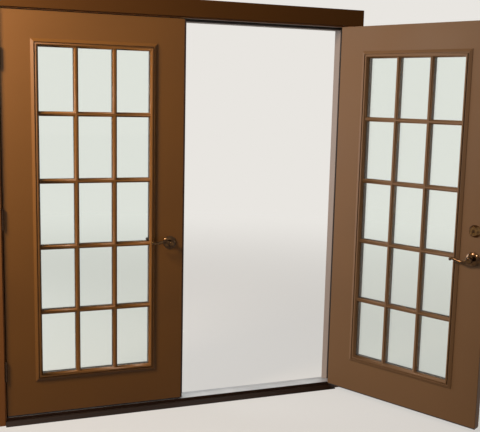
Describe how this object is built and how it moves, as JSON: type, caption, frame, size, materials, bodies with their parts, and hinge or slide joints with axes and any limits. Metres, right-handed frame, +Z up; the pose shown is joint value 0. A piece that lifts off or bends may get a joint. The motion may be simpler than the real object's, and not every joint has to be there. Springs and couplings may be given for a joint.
{
  "type": "french doors",
  "caption": "Inswing pair of glazed doors with divided lights, hung in a rebated frame with sill, casings, astragal, levers, deadbolt and flush bolts",
  "frame": {"origin": "Middle of the sill's flat underside, at mid width and mid depth of the frame; the frame stands on it", "axes": "+X across the doorway to the right as seen from indoors, +Y outdoors through the doorway, +Z up"},
  "size_m": [2.3679, 0.9813, 2.155],
  "materials": {
    "frame_paint": "painted pine, satin",
    "leaf_paint": "satin paint on a smooth leaf",
    "lite_moulding": "moulded, painted to match the leaf",
    "sill_composite": "wood composite core",
    "sill_metal": "mill finish extrusion",
    "stained_oak": "dark stained oak, satin varnish",
    "weatherstrip": "soft foam and vinyl",
    "glass": "clear float",
    "spacer_metal": "folded spacer bar",
    "astragal_paint": "dark bronze enamel on an extrusion",
    "aged_brass": "antique brass, darkened",
    "bright_brass": "lacquered brass, browned with age",
    "lock_steel": "plated steel"
  },
  "bodies": {
    "frame": {"head_jamb": "frame_paint", "right_jamb": "frame_paint", "left_jamb": "frame_paint", "head_bolt_strike": "lock_steel", "sill_base": "sill_composite", "sill_tread": "sill_metal", "sill_cap": "sill_metal", "floor_nosing": "stained_oak", "right_casing": "frame_paint", "left_casing": "frame_paint", "head_casing": "frame_paint", "right_brick_mould": "frame_paint", "left_brick_mould": "frame_paint", "head_brick_mould": "frame_paint", "right_weatherstrip": "weatherstrip", "left_weatherstrip": "weatherstrip", "head_weatherstrip": "weatherstrip", "right_jamb_hinge_halves": "aged_brass", "left_jamb_hinge_halves": "aged_brass", "right_hinge_pins": "aged_brass", "left_hinge_pins": "aged_brass", "jamb_hinge_screws": "aged_brass"},
    "left_leaf": {"left_inner_lite_frame": "lite_moulding", "left_outer_lite_frame": "lite_moulding", "left_glass_panes": "glass", "left_glass_spacer": "spacer_metal", "left_glazing_tape": "weatherstrip", "left_sweep": "weatherstrip", "left_leaf_hinge_halves": "aged_brass", "left_leaf_hinge_screws": "aged_brass", "left_lever_roses": "bright_brass", "left_slab": "leaf_paint", "astragal": "astragal_paint", "astragal_seal": "weatherstrip", "flush_bolt_plates": "lock_steel", "strike_plates": "lock_steel", "left_inner_lever": "bright_brass", "left_outer_lever": "bright_brass"},
    "right_leaf": {"right_inner_lite_frame": "lite_moulding", "right_outer_lite_frame": "lite_moulding", "right_glass_panes": "glass", "right_glass_spacer": "spacer_metal", "right_glazing_tape": "weatherstrip", "right_sweep": "weatherstrip", "right_leaf_hinge_halves": "aged_brass", "right_leaf_hinge_screws": "aged_brass", "right_lever_roses": "bright_brass", "right_slab": "leaf_paint", "latch_case": "lock_steel", "deadbolt_case": "lock_steel", "deadbolt_collar": "bright_brass", "thumb_turn_rose": "bright_brass"},
    "top_bolt": {"top_flush_bolt": "lock_steel"},
    "bottom_bolt": {"bottom_flush_bolt": "lock_steel"},
    "right_levers": {"right_inner_lever": "bright_brass", "right_outer_lever": "bright_brass"},
    "latch": {"latch_bolt": "lock_steel"},
    "deadbolt": {"deadbolt_bar": "lock_steel"},
    "thumb_turn": {"thumb_turn": "bright_brass"},
    "key_plug": {"key_plug": "bright_brass"}
  },
  "joints": [
    {"name": "left_leaf_swing", "type": "hinge", "parent": "frame", "child": "left_leaf", "pos_m": [-0.914, -0.065, 1.05], "axis": [0, 0, -1], "range_deg": [0, 170]},
    {"name": "right_leaf_swing", "type": "hinge", "parent": "frame", "child": "right_leaf", "pos_m": [0.914, -0.065, 1.05], "axis": [0, 0, 1], "range_deg": [-118, 52]},
    {"name": "right_lever_turn", "type": "hinge", "parent": "right_leaf", "child": "right_levers", "pos_m": [1.2823, -0.81997, 0.906], "axis": [-0.8829, -0.4695, 0], "range_deg": [0, 45], "stiffness_Nm_per_rad": 1.2, "springref_deg": -34.38},
    {"name": "latch_slide", "type": "slide", "parent": "right_leaf", "child": "latch", "axis": [-0.4695, 0.8829, 0], "range_m": [0, 0.0127]},
    {"name": "thumb_turn_turn", "type": "hinge", "parent": "right_leaf", "child": "thumb_turn", "pos_m": [1.2823, -0.81997, 1.046], "axis": [-0.8829, -0.4695, 0], "range_deg": [0, 90]},
    {"name": "deadbolt_slide", "type": "slide", "parent": "right_leaf", "child": "deadbolt", "axis": [0.4695, -0.8829, 0], "range_m": [0, 0.0254]},
    {"name": "key_plug_turn", "type": "hinge", "parent": "right_leaf", "child": "key_plug", "pos_m": [1.2823, -0.81997, 1.046], "axis": [-0.8829, -0.4695, 0], "range_deg": [-90, 90]},
    {"name": "top_bolt_slide", "type": "slide", "parent": "left_leaf", "child": "top_bolt", "axis": [0, 0, 1], "range_m": [0, 0.016]},
    {"name": "bottom_bolt_slide", "type": "slide", "parent": "left_leaf", "child": "bottom_bolt", "axis": [0, 0, -1], "range_m": [0, 0.016]}
  ],
  "couplings": [
    {"joint": "latch_slide", "follows": "right_lever_turn", "m_per_rad": 0.01617},
    {"joint": "deadbolt_slide", "follows": "thumb_turn_turn", "m_per_rad": 0.01617}
  ]
}
